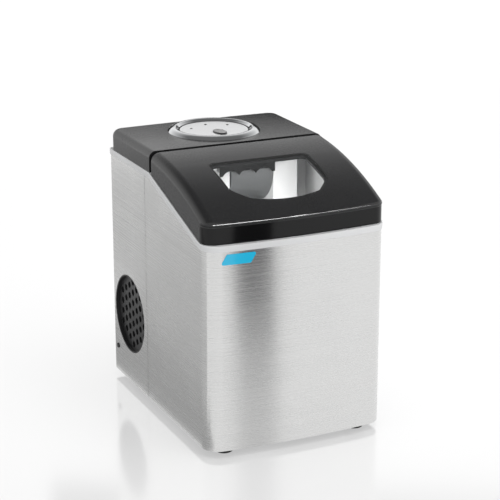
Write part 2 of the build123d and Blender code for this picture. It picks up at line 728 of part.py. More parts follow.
with BuildPart() as evaporator_plate:
    with BuildSketch(Plane.XY.offset(FINGER_TOP_Z)):
        with Locations((0, FINGER_MID_Y)):
            RectangleRounded(44, 44, 6)
    extrude(amount=5)
    fillet(evaporator_plate.edges().group_by(Axis.Z)[-1], 1.5)
save(evaporator_plate.part, "evaporator_plate")

with BuildPart() as evaporator_fingers:
    with BuildSketch(Plane.XY.offset(FINGER_TIP_Z)):
        with Locations(*FINGER_SPOTS):
            Circle(FINGER_RADIUS)
    extrude(amount=FINGER_TOP_Z - FINGER_TIP_Z)
    fillet(evaporator_fingers.edges().group_by(Axis.Z)[0], 2.5)
save(evaporator_fingers.part, "evaporator_fingers")

BRIDGE_FRONT_Y = -26.0
BRIDGE_BACK_Y = 84.0
PANEL_LOW_Z = 262.0
CHEEK_WALL = 2.0
BUSH_RADIUS = 4.5
SHAFT_RADIUS = 2.5
FLAP_PIN = 1.5
SPOUT_Y = -20.0
SPOUT_Z = 326.5

with BuildPart() as mechanism_frame:
    mid_y = (BRIDGE_FRONT_Y + BRIDGE_BACK_Y) / 2
    with Locations((0, mid_y, BRIDGE_Z + BRIDGE_THICK / 2)):
        Box(2 * BRIDGE_HALF, BRIDGE_BACK_Y - BRIDGE_FRONT_Y, BRIDGE_THICK)
    for side in (-1, 1):
        cheek_x = side * (CHEEK_HALF + CHEEK_WALL / 2)
        with Locations((cheek_x, mid_y, (PANEL_LOW_Z + TUB_WALL + BRIDGE_Z) / 2)):
            Box(CHEEK_WALL, BRIDGE_BACK_Y - BRIDGE_FRONT_Y, BRIDGE_Z - PANEL_LOW_Z - TUB_WALL)
        panel_mid = side * (CHEEK_HALF + BRIDGE_HALF) / 2
        with Locations((panel_mid, BRIDGE_FRONT_Y + 1.25, (PANEL_LOW_Z + BRIDGE_Z) / 2)):
            Box(BRIDGE_HALF - CHEEK_HALF, 2.5, BRIDGE_Z - PANEL_LOW_Z)
        # ears that carry the rake
        ear_x = FLAP_LEFT - 3.5 if side < 0 else FLAP_RIGHT + 3.5
        with BuildSketch(Plane.YZ.offset(ear_x)):
            with Locations((FLAP_Y, FLAP_Z)):
                Circle(3)
            with Locations((FLAP_Y + 2.5, FLAP_Z - 3)):
                Rectangle(7, 6)
        extrude(amount=1.5, both=True)
    add(round_bar(BUSH_RADIUS, (-60, TRAY_Y, TRAY_Z), (1, 0, 0), 120), mode=Mode.SUBTRACT)
    add(round_bar(FLAP_PIN + RUNNING_CLEARANCE, (-70, FLAP_Y, FLAP_Z), (1, 0, 0), 140), mode=Mode.SUBTRACT)
    # slot that the water spout passes through, and pads that hold the evaporator plate
    with Locations((-CHEEK_HALF - 1, SPOUT_Y, SPOUT_Z)):
        Box(6, 7, 9, mode=Mode.SUBTRACT)
    with Locations((0, FINGER_MID_Y - 12, BRIDGE_Z - 1), (0, FINGER_MID_Y + 12, BRIDGE_Z - 1)):
        Box(34, 5, 2)
save(mechanism_frame.part, "mechanism_frame")

# ---------------------------------------------------------------- water tray


def tray_sector(radius, low_angle, back):
    """Side view of the tray: a quarter disc under the tray's axis, closed by an upright back."""
    with BuildSketch(Plane.YZ, mode=Mode.PRIVATE) as sector:
        with BuildLine():
            depth = sqrt(radius**2 - back**2)
            middle = (TRAY_Y + radius * cos(radians(low_angle)), TRAY_Z + radius * sin(radians(low_angle)))
            ThreePointArc((TRAY_Y - radius, TRAY_Z), middle, (TRAY_Y + back, TRAY_Z - depth))
            Polyline(
                (TRAY_Y + back, TRAY_Z - depth), (TRAY_Y + back, TRAY_Z), (TRAY_Y - radius, TRAY_Z)
            )
        make_face()
    return sector.sketch


with BuildPart() as water_tray:
    extrude(tray_sector(TRAY_INNER + TRAY_WALL, 225, 3.5 + TRAY_WALL), amount=TRAY_HALF + TRAY_WALL, both=True)
    extrude(tray_sector(TRAY_INNER, 225, 3.5), amount=TRAY_HALF, both=True, mode=Mode.SUBTRACT)
    for side in (-1, 1):
        with BuildSketch(Plane.YZ.offset(side * (TRAY_HALF + TRAY_WALL / 2))):
            with Locations((TRAY_Y, TRAY_Z)):
                Circle(5.5)
        extrude(amount=TRAY_WALL / 2, both=True)
    add(round_bar(SHAFT_RADIUS, (-40, TRAY_Y, TRAY_Z), (1, 0, 0), 80), mode=Mode.SUBTRACT)
    # the back stays lower than the ends, to pass under the refrigerant pipes when the tray tips
    with Locations((0, TRAY_Y + 6, TRAY_Z)):
        Box(2 * TRAY_HALF, 12, 18, mode=Mode.SUBTRACT)
save(water_tray.part, "water_tray")

with BuildPart() as tray_shaft:
    add(round_bar(SHAFT_RADIUS, (-TRAY_HALF, TRAY_Y, TRAY_Z), (-1, 0, 0), 9))
    add(round_bar(SHAFT_RADIUS, (TRAY_HALF, TRAY_Y, TRAY_Z), (1, 0, 0), 20))
save(tray_shaft.part, "tray_shaft")

with BuildPart() as tray_bushes:
    for side in (-1, 1):
        start = (side * CHEEK_HALF, TRAY_Y, TRAY_Z)
        add(round_bar(BUSH_RADIUS, start, (side, 0, 0), 4, inner=SHAFT_RADIUS + RUNNING_CLEARANCE))
save(tray_bushes.part, "tray_bushes")

with BuildPart() as tray_motor:
    with Locations((51, TRAY_Y, TRAY_Z - 10)):
        Box(22, 34, 34)
    add(round_bar(6, (CHEEK_HALF + 8.5, TRAY_Y, TRAY_Z), (1, 0, 0), 2))
    add(round_bar(SHAFT_RADIUS + RUNNING_CLEARANCE, (CHEEK_HALF, TRAY_Y, TRAY_Z), (1, 0, 0), 18), mode=Mode.SUBTRACT)
save(tray_motor.part, "tray_motor")

ARCH_PITCH = 30.0
FLAP_LOW_Z = 318.0
FLAP_PLATE_Y = FLAP_Y - 3.0
ROD_START = (FLAP_LEFT - 5, FLAP_Y, FLAP_Z)
ROD_LENGTH = FLAP_RIGHT - FLAP_LEFT + 10

with BuildPart() as ice_rake:
    with BuildSketch(Plane.XZ.offset(-FLAP_PLATE_Y)):
        with BuildLine():
            left = FLAP_LEFT + 0.8
            right = FLAP_RIGHT - 0.8
            Polyline((left, FLAP_Z), (right, FLAP_Z), (right, FLAP_LOW_Z), (right - 4, FLAP_LOW_Z))
            start_x = right - 4
            span = (right - left - 8) / 3
            for arch in range(3):
                end_x = start_x - span
                ThreePointArc((start_x, FLAP_LOW_Z), ((start_x + end_x) / 2, FLAP_LOW_Z + 6.5), (end_x, FLAP_LOW_Z))
                start_x = end_x
            Polyline((start_x, FLAP_LOW_Z), (left, FLAP_LOW_Z), (left, FLAP_Z))
        make_face()
    extrude(amount=2)
    add(round_bar(2.6, (left, FLAP_Y, FLAP_Z), (1, 0, 0), right - left))
    with Locations(((left + right) / 2, FLAP_Y - 2, FLAP_Z - 1.3)):
        Box(right - left, 4, 2.6)
    add(round_bar(FLAP_PIN, ROD_START, (1, 0, 0), ROD_LENGTH), mode=Mode.SUBTRACT)
save(ice_rake.part, "ice_rake")

with BuildPart() as rake_rod:
    add(round_bar(FLAP_PIN, ROD_START, (1, 0, 0), ROD_LENGTH))
save(rake_rod.part, "rake_rod")

# ---------------------------------------------------------------- water circuit

PUMP_X = -80.0
HOSE_RADIUS = 4.0
SPOUT_END_X = -24.0

with BuildPart() as water_pump:
    with Locations((PUMP_X, SPOUT_Y, TUB_FLOOR_Z + 2)):
        Cylinder(17, 4)
    with Locations((PUMP_X, SPOUT_Y, TUB_FLOOR_Z + 15)):
        Cylinder(14, 22)
    with Locations((PUMP_X, SPOUT_Y, TUB_FLOOR_Z + 30)):
        Cylinder(3.2, 8)
save(water_pump.part, "water_pump")

with BuildPart() as pump_hose:
    hose_points = [(PUMP_X, SPOUT_Y, TUB_FLOOR_Z + 34), (PUMP_X, SPOUT_Y, SPOUT_Z), (PUMP_X + 15, SPOUT_Y, SPOUT_Z)]
    add(bent_tube(hose_points, 12, HOSE_RADIUS))
save(pump_hose.part, "pump_hose")

with BuildPart() as water_spout:
    spout_start = (PUMP_X + 15, SPOUT_Y, SPOUT_Z)
    add(round_bar(2.4, spout_start, (1, 0, 0), SPOUT_END_X - PUMP_X - 15, inner=1.5))
save(water_spout.part, "water_spout")

# ---------------------------------------------------------------- fan and condenser

SHROUD_START = WIDTH / 2 - GRILLE_RECESS - GRILLE_PLATE
FAN_RADIUS = 43.0
FAN_MID_X = -101.0
FAN_DEPTH = 13.0
MOTOR_FRONT_X = -91.0
MOTOR_BACK_X = -79.0
FAN_AXLE = 1.5

with BuildPart() as fan_shroud:
    with BuildSketch(Plane.YZ.offset(-SHROUD_START)):
        with Locations((GRILLE_Y, GRILLE_Z)):
            RectangleRounded(108, 108, 8)
            Circle(FAN_RADIUS + 4, mode=Mode.SUBTRACT)
    extrude(amount=SHROUD_START + MOTOR_BACK_X)
    with BuildSketch(Plane.YZ.offset(MOTOR_BACK_X)):
        with Locations((GRILLE_Y, GRILLE_Z)):
            Rectangle(100, 8)
            Rectangle(8, 100)
            Circle(16)
    extrude(amount=3)
save(fan_shroud.part, "fan_shroud")

with BuildPart() as fan_motor:
    add(round_bar(16, (MOTOR_FRONT_X, GRILLE_Y, GRILLE_Z), (1, 0, 0), MOTOR_BACK_X - MOTOR_FRONT_X))
    axle_bore = FAN_AXLE + RUNNING_CLEARANCE
    add(round_bar(axle_bore, (MOTOR_FRONT_X - 1, GRILLE_Y, GRILLE_Z), (1, 0, 0), 8), mode=Mode.SUBTRACT)
save(fan_motor.part, "fan_motor")

with BuildPart() as fan_rotor:
    with PolarLocations(28, 7):
        Box(32, 1.6, 19, rotation=(35, 0, 0))
    Cylinder(FAN_RADIUS, FAN_DEPTH, mode=Mode.INTERSECT)
    Cylinder(13, FAN_DEPTH)
    with Locations((0, 0, FAN_DEPTH / 2 + 3.5)):
        Cylinder(FAN_AXLE, 9)
save(fan_rotor.part.moved(Location((FAN_MID_X, GRILLE_Y, GRILLE_Z), (0, 90, 0))), "fan_rotor")

COIL_X = -58.0
COIL_LOW_Z = 62.0
COIL_STEP = 22.0
COIL_FRONT_Y = 47.0
COIL_BACK_Y = 151.0
PIPE_RADIUS = 3.0

coil_points = [(COIL_X, COIL_BACK_Y - 5, COIL_LOW_Z)]
for row in range(4):
    turn_y = COIL_BACK_Y if row % 2 else COIL_FRONT_Y
    coil_points.append((COIL_X, turn_y, COIL_LOW_Z + COIL_STEP * row))
    coil_points.append((COIL_X, turn_y, COIL_LOW_Z + COIL_STEP * (row + 1)))
COIL_TOP_Z = COIL_LOW_Z + 4 * COIL_STEP
coil_points.append((COIL_X, COIL_FRONT_Y + 11, COIL_TOP_Z))

with BuildPart() as condenser_coil:
    add(bent_tube(coil_points, 10.5, PIPE_RADIUS))
save(condenser_coil.part, "condenser_coil")

with BuildPart() as condenser_fins:
    with Locations((COIL_X, GRILLE_Y, GRILLE_Z)):
        with GridLocations(1, 6, 1, 13):
            Box(28, 0.8, 108)
    for row in range(5):
        bore_start = (COIL_X, COIL_FRONT_Y, COIL_LOW_Z + COIL_STEP * row)
        add(round_bar(PIPE_RADIUS, bore_start, (0, 1, 0), COIL_BACK_Y - COIL_FRONT_Y), mode=Mode.SUBTRACT)
save(condenser_fins.part, "condenser_fins")

STAND_TOP_Z = GRILLE_Z - 54

with BuildPart() as condenser_stand:
    with Locations((-78, GRILLE_Y, STAND_TOP_Z - 1)):
        Box(68, 96, 2)
    for leg_y in (GRILLE_Y - 47, GRILLE_Y + 47):
        with Locations((-78, leg_y, (STAND_TOP_Z + PAN_TOP_Z) / 2)):
            Box(68, 2, STAND_TOP_Z - PAN_TOP_Z)
save(condenser_stand.part, "condenser_stand")

# ---------------------------------------------------------------- compressor

COMPRESSOR_X = 42.0
COMPRESSOR_Y = 100.0
COMPRESSOR_LOW_Z = 30.0
COMPRESSOR_TOP_Z = 118.0
GROMMET_SPACING = 80.0

with BuildPart() as compressor_shell:
    with BuildSketch(Plane.XY.offset(COMPRESSOR_LOW_Z)):
        with Locations((COMPRESSOR_X, COMPRESSOR_Y)):
            Circle(40)
    extrude(amount=COMPRESSOR_TOP_Z - COMPRESSOR_LOW_Z)
    fillet(compressor_shell.edges(), 18)
save(compressor_shell.part, "compressor_shell")

with BuildPart() as compressor_base:
    with BuildSketch(Plane.XY.offset(COMPRESSOR_LOW_Z)):
        with Locations((COMPRESSOR_X, COMPRESSOR_Y)):
            RectangleRounded(96, 96, 8)
            with GridLocations(GROMMET_SPACING, GROMMET_SPACING, 2, 2):
                Circle(3, mode=Mode.SUBTRACT)
    extrude(amount=-2.5)
save(compressor_base.part, "compressor_base")

with BuildPart() as compressor_grommets:
    with BuildSketch(Plane.XY.offset(PAN_TOP_Z)):
        with Locations((COMPRESSOR_X, COMPRESSOR_Y)):
            with GridLocations(GROMMET_SPACING, GROMMET_SPACING, 2, 2):
                Circle(7)
                Circle(3, mode=Mode.SUBTRACT)
    extrude(amount=COMPRESSOR_LOW_Z - 2.5 - PAN_TOP_Z)
save(compressor_grommets.part, "compressor_grommets")

with BuildPart() as compressor_bolts:
    with BuildSketch(Plane.XY.offset(PAN_TOP_Z)):
        with Locations((COMPRESSOR_X, COMPRESSOR_Y)):
            with GridLocations(GROMMET_SPACING, GROMMET_SPACING, 2, 2):
                Circle(3)
    extrude(amount=COMPRESSOR_LOW_Z - PAN_TOP_Z)
    with BuildSketch(Plane.XY.offset(COMPRESSOR_LOW_Z)):
        with Locations((COMPRESSOR_X, COMPRESSOR_Y)):
            with GridLocations(GROMMET_SPACING, GROMMET_SPACING, 2, 2):
                RegularPolygon(5, 6)
    extrude(amount=4)
save(compressor_bolts.part, "compressor_bolts")

with BuildPart() as relay_cover:
    with Locations((COMPRESSOR_X + 46, COMPRESSOR_Y, 78)):
        Box(18, 36, 44)
    with Locations((COMPRESSOR_X, COMPRESSOR_Y, 78)):
        Cylinder(40, 60, mode=Mode.SUBTRACT)
save(relay_cover.part, "relay_cover")

# ---------------------------------------------------------------- refrigerant lines

DISCHARGE_SPOT = (COMPRESSOR_X - 14, COMPRESSOR_Y - 8)
SUCTION_SPOT = (COMPRESSOR_X + 14, COMPRESSOR_Y + 8)
LINE_Z = FINGER_TOP_Z + 2.5
LINE_START_Y = FINGER_MID_Y + 22
VALVE_RUN_Z = 195.0
DRIER_X = -12.0
DRIER_Y = 140.0

with BuildPart() as discharge_line:
    x, y = DISCHARGE_SPOT
    line_points = [
        (COIL_X, COIL_FRONT_Y + 11, COIL_TOP_Z),
        (COIL_X, COIL_FRONT_Y, COIL_TOP_Z),
        (COIL_X, COIL_FRONT_Y, VALVE_RUN_Z),
        (x, COIL_FRONT_Y, VALVE_RUN_Z),
        (x, y, VALVE_RUN_Z),
        (x, y, COMPRESSOR_TOP_Z),
    ]
    add(bent_tube(line_points, 8, PIPE_RADIUS))
save(discharge_line.part, "discharge_line")

with BuildPart() as suction_line:
    x, y = SUCTION_SPOT
    line_points = [(12, LINE_START_Y, LINE_Z), (12, y, LINE_Z), (12, y, 230), (x, y, 230), (x, y, COMPRESSOR_TOP_Z)]
    add(bent_tube(line_points, 10, 2.2))
save(suction_line.part, "suction_line")

with BuildPart() as filter_drier:
    with BuildSketch(Plane.XZ.offset(-DRIER_Y)):
        with BuildLine():
            Polyline(
                (DRIER_X, 52), (DRIER_X + 2.5, 52), (DRIER_X + 8, 60), (DRIER_X + 8, 106), (DRIER_X + 2.5, 114)
            )
            Polyline((DRIER_X + 2.5, 114), (DRIER_X, 114), (DRIER_X, 52))
        make_face()
    revolve(axis=Axis((DRIER_X, DRIER_Y, 0), (0, 0, 1)))
save(filter_drier.part, "filter_drier")

with BuildPart() as liquid_line:
    line_points = [
        (COIL_X, COIL_BACK_Y - 5, COIL_LOW_Z),
        (COIL_X, COIL_BACK_Y + 4, COIL_LOW_Z),
        (COIL_X, COIL_BACK_Y + 4, 36),
        (DRIER_X, COIL_BACK_Y + 4, 36),
        (DRIER_X, DRIER_Y, 36),
        (DRIER_X, DRIER_Y, 52),
    ]
    add(bent_tube(line_points, 5, 2.2))
save(liquid_line.part, "liquid_line")

with BuildPart() as capillary:
    line_points = [
        (DRIER_X, LINE_START_Y, LINE_Z),
        (DRIER_X, 98, LINE_Z),
        (DRIER_X, 98, 170),
        (DRIER_X, DRIER_Y, 170),
        (DRIER_X, DRIER_Y, 114),
    ]
    add(bent_tube(line_points, 8, 1.2))
save(capillary.part, "capillary")

with BuildPart() as hot_gas_valve:
    add(round_bar(7, (-30, COIL_FRONT_Y, VALVE_RUN_Z), (1, 0, 0), 26))
    add(round_bar(4, (-17, COIL_FRONT_Y, VALVE_RUN_Z), (0, 0, 1), 12))
    with Locations((-17, COIL_FRONT_Y + 5, VALVE_RUN_Z + 24)):
        Box(26, 22, 26)
    add(round_bar(PIPE_RADIUS, (-40, COIL_FRONT_Y, VALVE_RUN_Z), (1, 0, 0), 60), mode=Mode.SUBTRACT)
save(hot_gas_valve.part, "hot_gas_valve")

with BuildPart() as power_module:
    with Locations((66, BACK_Y - SHEET - 1.5, 225)):
        Box(70, 3, 84)
    with Locations((66, BACK_Y - SHEET - 4, 225)):
        Box(64, 2, 78)
    with Locations((48, BACK_Y - SHEET - 16, 238)):
        Box(26, 22, 32)
    with Locations((82, BACK_Y - SHEET - 11, 210)):
        Cylinder(7, 26)
save(power_module.part, "power_module")

# ---------------------------------------------------------------- small outside pieces

with BuildPart() as cord_gland:
    gland_at = (GLAND_X, BACK_Y, GLAND_Z)
    add(round_bar(12, (GLAND_X, BACK_Y - SHEET, GLAND_Z), (0, -1, 0), 3))
    add(round_bar(8.9, (GLAND_X, BACK_Y - SHEET - 1, GLAND_Z), (0, 1, 0), 3))
    add(round_bar(12, gland_at, (0, 1, 0), 2.5))
    add(round_bar(8, gland_at, (0, 1, 0), 7.2))
    add(round_bar(3.6, (GLAND_X, BACK_Y - 10, GLAND_Z), (0, 1, 0), 30), mode=Mode.SUBTRACT)
save(cord_gland.part, "cord_gland")

SCREW_HEAD = 3.4

with BuildPart() as cabinet_screws:
    for x in (-104, 104):
        for z in (32, 160, 300):
            add(round_bar(SCREW_HEAD, (x, BACK_Y, z), (0, 1, 0), 1.2))
            add(round_bar(1.8, (x, BACK_Y - 3, z), (0, 1, 0), 3))
    for side in (-1, 1):
        add(round_bar(SCREW_HEAD, (side * WIDTH / 2, 146, 45), (side, 0, 0), 1.0))
        add(round_bar(1.8, (side * (WIDTH / 2 - 3), 146, 45), (side, 0, 0), 3))
save(cabinet_screws.part, "cabinet_screws")

with BuildPart() as front_badge:
    with BuildSketch(Plane.XZ.offset(-FRONT_Y - BOW - 12)) as badge_outline:
        with BuildLine():
            Polyline((-104, 248), (-66, 248), (-58, 261), (-96, 261), close=True)
        make_face()
        fillet(badge_outline.vertices(), 2)
    extrude(amount=40)
    add(hollow_wall(200, -0.5, 0), mode=Mode.INTERSECT)
save(front_badge.part, "front_badge")
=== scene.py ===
import json
import math
import bpy
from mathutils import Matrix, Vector


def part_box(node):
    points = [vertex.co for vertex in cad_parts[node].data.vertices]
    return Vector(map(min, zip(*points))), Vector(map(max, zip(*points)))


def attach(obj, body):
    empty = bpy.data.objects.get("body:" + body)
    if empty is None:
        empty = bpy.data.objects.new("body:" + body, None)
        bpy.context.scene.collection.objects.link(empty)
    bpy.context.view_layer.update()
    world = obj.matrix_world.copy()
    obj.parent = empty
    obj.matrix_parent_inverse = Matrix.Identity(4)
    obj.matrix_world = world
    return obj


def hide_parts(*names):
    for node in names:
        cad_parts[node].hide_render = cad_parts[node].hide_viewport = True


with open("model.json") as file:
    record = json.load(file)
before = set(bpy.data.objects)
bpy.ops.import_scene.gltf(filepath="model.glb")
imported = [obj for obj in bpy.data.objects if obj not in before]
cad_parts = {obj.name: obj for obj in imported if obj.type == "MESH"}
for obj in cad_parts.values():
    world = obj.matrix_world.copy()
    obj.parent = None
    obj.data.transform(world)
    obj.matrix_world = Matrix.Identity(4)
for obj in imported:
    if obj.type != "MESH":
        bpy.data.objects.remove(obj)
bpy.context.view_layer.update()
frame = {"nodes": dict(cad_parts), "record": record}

print("frame loaded,", len(frame["nodes"]), "CAD nodes")


class Wire:
    # a node's output socket, on which + and * add Math nodes
    def __init__(self, tree, socket):
        self.tree = tree
        self.socket = socket

    def maths(self, operation, *values):
        return makeNode(self.tree, "ShaderNodeMath", {"operation": operation}, dict(enumerate(values)))

    def __add__(self, other):
        return self.maths("ADD", self, other)

    def __radd__(self, other):
        return self.maths("ADD", other, self)

    def __mul__(self, other):
        return self.maths("MULTIPLY", self, other)

    def __rmul__(self, other):
        return self.maths("MULTIPLY", other, self)


def makeNode(tree, kind, settings=None, values=None, out=0):
    node = tree.nodes.new(kind)
    for name, value in (settings or {}).items():
        setattr(node, name, value)
    for name, value in (values or {}).items():
        if isinstance(value, Wire):
            tree.links.new(value.socket, node.inputs[name])
        else:
            node.inputs[name].default_value = value
    return Wire(tree, node.outputs[out])


def plug(wire, node, socketName):
    wire.tree.links.new(wire.socket, node.inputs[socketName])


def newFinish(name, **sockets):
    material = bpy.data.materials.new(name)
    material.use_nodes = True
    tree = material.node_tree
    shader = next(node for node in tree.nodes if node.type == "BSDF_PRINCIPLED")
    for socketName, value in sockets.items():
        shader.inputs[socketName.replace("_", " ")].default_value = value
    return material, tree, shader


def objectPlace(tree, stretch=(1, 1, 1)):
    place = makeNode(tree, "ShaderNodeTexCoord", out="Object")
    return makeNode(tree, "ShaderNodeMapping", None, {"Vector": place, "Scale": stretch})


def noise(tree, place, scale, detail):
    return makeNode(tree, "ShaderNodeTexNoise", None, {"Vector": place, "Scale": scale, "Detail": detail})


def remap(wire, low, high, newLow, newHigh):
    return makeNode(wire.tree, "ShaderNodeMapRange", None,
                    {"Value": wire, "From Min": low, "From Max": high, "To Min": newLow, "To Max": newHigh})


noiseReach = (0.3, 0.7)  # the values that a noise texture mostly keeps within


def spread(wire, newLow, newHigh):
    return remap(wire, *noiseReach, newLow, newHigh)


def tint(wire, dark, light):
    return makeNode(wire.tree, "ShaderNodeMix", {"data_type": "RGBA"},
                    {0: wire, 6: (*dark, 1), 7: (*light, 1)}, out=2)


def shade(color, factor):
    return [min(channel * factor, 1) for channel in color]


def bump(height, strength, distance, normal=None):
    values = {"Height": height, "Strength": strength, "Distance": distance}
    if normal is not None:
        values["Normal"] = normal
    return makeNode(height.tree, "ShaderNodeBump", None, values)


steelLook = {
    "color": (0.71, 0.71, 0.705), "dark": 0.96, "light": 1.02,
    "roughness": 0.24, "glossier": 0.05, "duller": 0.06,
    "anisotropic": 0.88, "turn": 0.25,
    "run": 3, "hairlines": 3800, "hairlineShare": 0.6,  # the brushing runs level round the cabinet
    "streakRun": 0.7, "streaks": 1300,
    "clouds": 9, "cloudReach": (0.35, 0.65), "cloudRoughness": (-0.015, 0.03),
    "bump": 0.15, "depth": 0.0000025,
}


def brushedSteel():
    look = steelLook
    material, tree, shader = newFinish("brushedSteel", Metallic=1.0, Anisotropic=look["anisotropic"],
                                       Anisotropic_Rotation=look["turn"])
    run = look["run"]
    streakRun = run * look["streakRun"]
    fine = noise(tree, objectPlace(tree, (run, run, look["hairlines"])), 1, 2)
    broad = noise(tree, objectPlace(tree, (streakRun, streakRun, look["streaks"])), 1, 3)
    cloud = noise(tree, objectPlace(tree), look["clouds"], 3)
    grain = fine * look["hairlineShare"] + broad * (1 - look["hairlineShare"])
    plug(tint(spread(grain, 0, 1), shade(look["color"], look["dark"]), shade(look["color"], look["light"])),
         shader, "Base Color")
    plug(spread(broad, look["roughness"] - look["glossier"], look["roughness"] + look["duller"])
         + remap(cloud, *look["cloudReach"], *look["cloudRoughness"]), shader, "Roughness")
    plug(bump(grain, look["bump"], look["depth"]), shader, "Normal")
    return material


mouldedLook = {
    "clouds": 14, "cloudDetail": 4, "unevenGloss": 0.12,
    "speckDetail": 2, "speckGloss": 0.02, "speckDepth": 0.00008,
    "waves": 22, "waveDepth": 0.0006, "coatRoughness": 0.06,
}


def moulded(name, color, roughness, grain, grainSize, coat=0.0, metallic=0.0, mottle=0.06, wave=0.0,
            sheen=0.5):
    # moulded, painted or plated surface: fine grain, faint mottling, uneven gloss and slow waves
    look = mouldedLook
    material, tree, shader = newFinish(name, Metallic=metallic, Coat_Weight=coat,
                                       Coat_Roughness=look["coatRoughness"], Specular_IOR_Level=sheen)
    place = objectPlace(tree)
    speck = noise(tree, place, grainSize, look["speckDetail"])
    cloud = noise(tree, place, look["clouds"], look["cloudDetail"])
    plug(tint(spread(cloud, 0, 1), shade(color, 1 - mottle), shade(color, 1 + mottle)), shader, "Base Color")
    uneven = look["unevenGloss"]
    plug(spread(cloud, roughness * (1 - uneven), roughness * (1 + uneven))
         + spread(speck, -look["speckGloss"], look["speckGloss"]), shader, "Roughness")
    normal = bump(speck, grain, look["speckDepth"])
    if wave:
        normal = bump(noise(tree, place, look["waves"], 1), wave, look["waveDepth"], normal)
    plug(normal, shader, "Normal")
    return material


polishedLook = {"clouds": 60, "cloudDetail": 4, "dark": 0.95, "glossier": 0.7, "duller": 1.5}


def polished(name, color, roughness):
    look = polishedLook
    material, tree, shader = newFinish(name, Metallic=1.0)
    cloud = noise(tree, objectPlace(tree), look["clouds"], look["cloudDetail"])
    plug(tint(cloud, shade(color, look["dark"]), color), shader, "Base Color")
    plug(spread(cloud, roughness * look["glossier"], roughness * look["duller"]), shader, "Roughness")
    return material


windowLook = {"color": (0.30, 0.31, 0.31, 1), "sheen": 0.12, "haze": 30, "hazeDetail": 4,
              "roughness": (0.02, 0.05), "alpha": (0.02, 0.04)}


def windowPlastic():
    look = windowLook
    material, tree, shader = newFinish("windowPlastic", Base_Color=look["color"],
                                       Specular_IOR_Level=look["sheen"])
    haze = noise(tree, objectPlace(tree), look["haze"], look["hazeDetail"])
    plug(spread(haze, *look["roughness"]), shader, "Roughness")
    plug(spread(haze, *look["alpha"]), shader, "Alpha")
    return material


hoseLook = {"color": (0.75, 0.77, 0.77, 1), "scatter": 0.2, "clouds": 90, "cloudDetail": 2,
            "roughness": (0.25, 0.4), "alpha": (0.7, 0.85)}


def hoseSilicone():
    look = hoseLook
    material, tree, shader = newFinish("hoseSilicone", Base_Color=look["color"],
                                       Subsurface_Weight=look["scatter"])
    cloud = noise(tree, objectPlace(tree), look["clouds"], look["cloudDetail"])
    plug(spread(cloud, *look["roughness"]), shader, "Roughness")
    plug(spread(cloud, *look["alpha"]), shader, "Alpha")
    return material


boardLook = {"dark": (0.012, 0.10, 0.035), "light": (0.05, 0.22, 0.08), "tracks": 220, "gap": 0.12,
             "stagger": 0.5, "roughness": (0.3, 0.45)}


def circuitBoard():
    look = boardLook
    material, tree, shader = newFinish("circuitBoard")
    values = {"Vector": objectPlace(tree), "Scale": look["tracks"], "Mortar Size": look["gap"]}
    tracks = makeNode(tree, "ShaderNodeTexBrick", {"offset": look["stagger"]}, values, out="Fac")
    plug(tint(tracks, look["dark"], look["light"]), shader, "Base Color")
    plug(remap(tracks, 0, 1, *look["roughness"]), shader, "Roughness")
    return material


# polished takes a name, colour and roughness, and moulded also takes its grain's strength and fineness
finishes = {
    "steel": brushedSteel(),
    "silver_plastic": moulded("silverTrim", (0.68, 0.685, 0.69), 0.34, 0.10, 1800, metallic=0.35,
                              mottle=0.03),
    "black_satin": moulded("satinBlack", (0.010, 0.010, 0.0105), 0.27, 0.12, 1500, mottle=0.05),
    "black_gloss": moulded("pianoBlack", (0.004, 0.004, 0.0042), 0.09, 0.01, 900, wave=0.03, sheen=0.28),
    "chrome_ring": polished("chromeRing", (0.62, 0.63, 0.64), 0.09),
    "black_rubber": moulded("blackRubber", (0.012, 0.012, 0.012), 0.62, 0.3, 1100),
    "fascia_silver": moulded("silverFascia", (0.66, 0.665, 0.67), 0.30, 0.08, 2400, metallic=0.25,
                             mottle=0.02),
    "button_black": moulded("glossButton", (0.008, 0.008, 0.009), 0.12, 0.03, 900, coat=0.5),
    "lens": moulded("smokedLens", (0.02, 0.025, 0.02), 0.10, 0.02, 900, coat=0.5),
    "window_clear": windowPlastic(),
    "white_liner": moulded("whiteLiner", (0.76, 0.765, 0.765), 0.32, 0.08, 900, mottle=0.02, wave=0.05),
    "white_basket": moulded("whiteBasket", (0.70, 0.705, 0.705), 0.36, 0.1, 1200, mottle=0.02),
    "foam": moulded("yellowFoam", (0.78, 0.70, 0.46), 0.85, 0.9, 420, mottle=0.12),
    "dark_plastic": moulded("blackMoulding", (0.018, 0.018, 0.019), 0.42, 0.25, 1300),
    "grey_plastic": moulded("greyMoulding", (0.30, 0.31, 0.315), 0.38, 0.12, 1200),
    "nickel": polished("nickelPlate", (0.60, 0.585, 0.56), 0.16),
    "copper": polished("copperPipe", (0.72, 0.36, 0.20), 0.22),
    "aluminium_fin": polished("finStock", (0.74, 0.75, 0.76), 0.28),
    "black_enamel": moulded("blackEnamel", (0.012, 0.012, 0.013), 0.22, 0.15, 500, coat=0.4, wave=0.15),
    "galvanised": moulded("galvanisedSheet", (0.48, 0.49, 0.50), 0.42, 0.2, 300, metallic=0.8, mottle=0.15),
    "screw_metal": moulded("blackZinc", (0.02, 0.02, 0.021), 0.34, 0.2, 900, metallic=0.6),
    "bolt_metal": polished("zincPlate", (0.56, 0.56, 0.55), 0.25),
    "circuit_green": circuitBoard(),
    "clear_hose": hoseSilicone(),
    "badge_blue": moulded("badgeFilm", (0.008, 0.42, 0.66), 0.20, 0.04, 800, coat=0.6, mottle=0.04),
}
print("finishes made:", len(finishes))

nodeSlot = {part["node"]: part["material_slot"] for part in frame["record"]["subparts"]}
nodeBody = {node: body for body, nodes in frame["record"]["behaviour"]["bodies"].items() for node in nodes}


def activate(piece):
    bpy.ops.object.select_all(action="DESELECT")
    piece.select_set(True)
    bpy.context.view_layer.objects.active = piece


